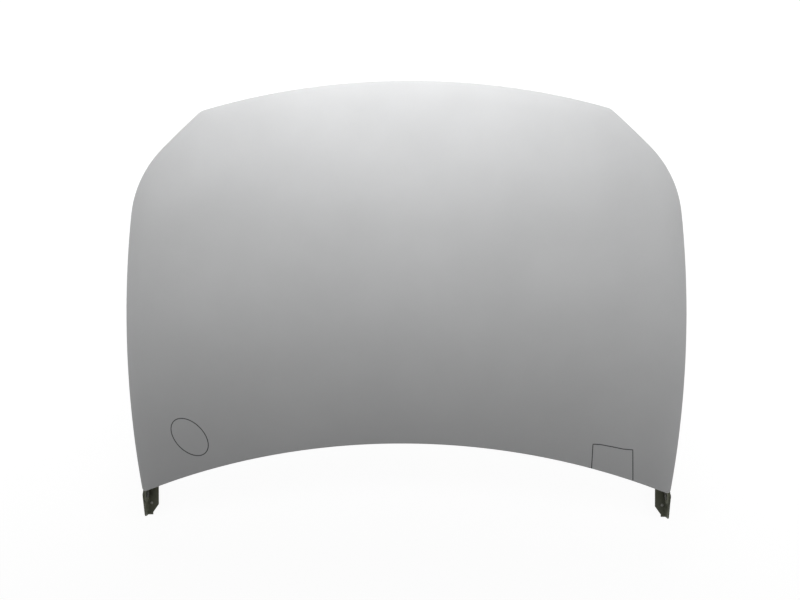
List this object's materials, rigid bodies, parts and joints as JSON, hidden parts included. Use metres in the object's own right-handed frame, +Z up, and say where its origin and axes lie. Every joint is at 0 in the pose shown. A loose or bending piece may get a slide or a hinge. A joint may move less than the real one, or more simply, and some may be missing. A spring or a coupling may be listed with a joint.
{
  "type": "car bonnet",
  "caption": "Steel car bonnet with hemmed outer skin, pressed and ribbed inner panel, latch striker, rubber buffers and a hinge behind each rear corner.",
  "frame": {"origin": "on the floor, under the middle of the whole bonnet as it lies crown up on its nose and hinge feet", "axes": "+X to the bonnet's right as seen from above with its nose up the page, +Y towards the nose, +Z up"},
  "size_m": [1.4438, 1.1476, 0.1535],
  "materials": {
    "skin_paint": "satin",
    "inner_paint": "satin",
    "hinge_coat": "matte",
    "zinc": "satin",
    "bare_steel": "satin",
    "rubber": "matte",
    "mastic": "matte"
  },
  "bodies": {
    "bonnet": {"outer_skin": "skin_paint", "inner_panel": "inner_paint", "hinge_reinforcement_right": "zinc", "hinge_reinforcement_left": "zinc", "hinge_arm_right": "hinge_coat", "hinge_arm_left": "hinge_coat", "hinge_rivet_right": "bare_steel", "hinge_rivet_left": "bare_steel", "hinge_washer_right": "bare_steel", "hinge_washer_left": "bare_steel", "hinge_bolt_rear_right": "zinc", "hinge_bolt_rear_left": "zinc", "hinge_nut_rear_right": "zinc", "hinge_nut_rear_left": "zinc", "hinge_bolt_front_right": "zinc", "hinge_bolt_front_left": "zinc", "hinge_nut_front_right": "zinc", "hinge_nut_front_left": "zinc", "latch_reinforcement": "zinc", "striker_plate": "zinc", "striker_wire": "bare_steel", "striker_bolt_right": "zinc", "striker_bolt_left": "zinc", "striker_nut_right": "zinc", "striker_nut_left": "zinc", "nose_buffer_right": "rubber", "nose_buffer_left": "rubber", "side_buffer_right": "rubber", "side_buffer_left": "rubber", "mastic_bead_1": "mastic", "mastic_bead_2": "mastic", "mastic_bead_3": "mastic", "mastic_bead_4": "mastic", "mastic_bead_5": "mastic", "mastic_bead_6": "mastic", "mastic_bead_7": "mastic", "mastic_bead_8": "mastic", "mastic_bead_9": "mastic", "mastic_bead_10": "mastic", "mastic_bead_11": "mastic", "mastic_bead_12": "mastic"},
    "bracket_right": {"hinge_bracket_right": "hinge_coat"},
    "bracket_left": {"hinge_bracket_left": "hinge_coat"}
  },
  "joints": [
    {"name": "hinge_right", "type": "hinge", "parent": "bonnet", "child": "bracket_right", "pos_m": [0.68148, -0.51476, 0.031], "axis": [-1, 0, 0], "range_deg": [0, 70]},
    {"name": "hinge_left", "type": "hinge", "parent": "bonnet", "child": "bracket_left", "pos_m": [-0.68148, -0.51476, 0.031], "axis": [-1, 0, 0], "range_deg": [0, 70]}
  ]
}
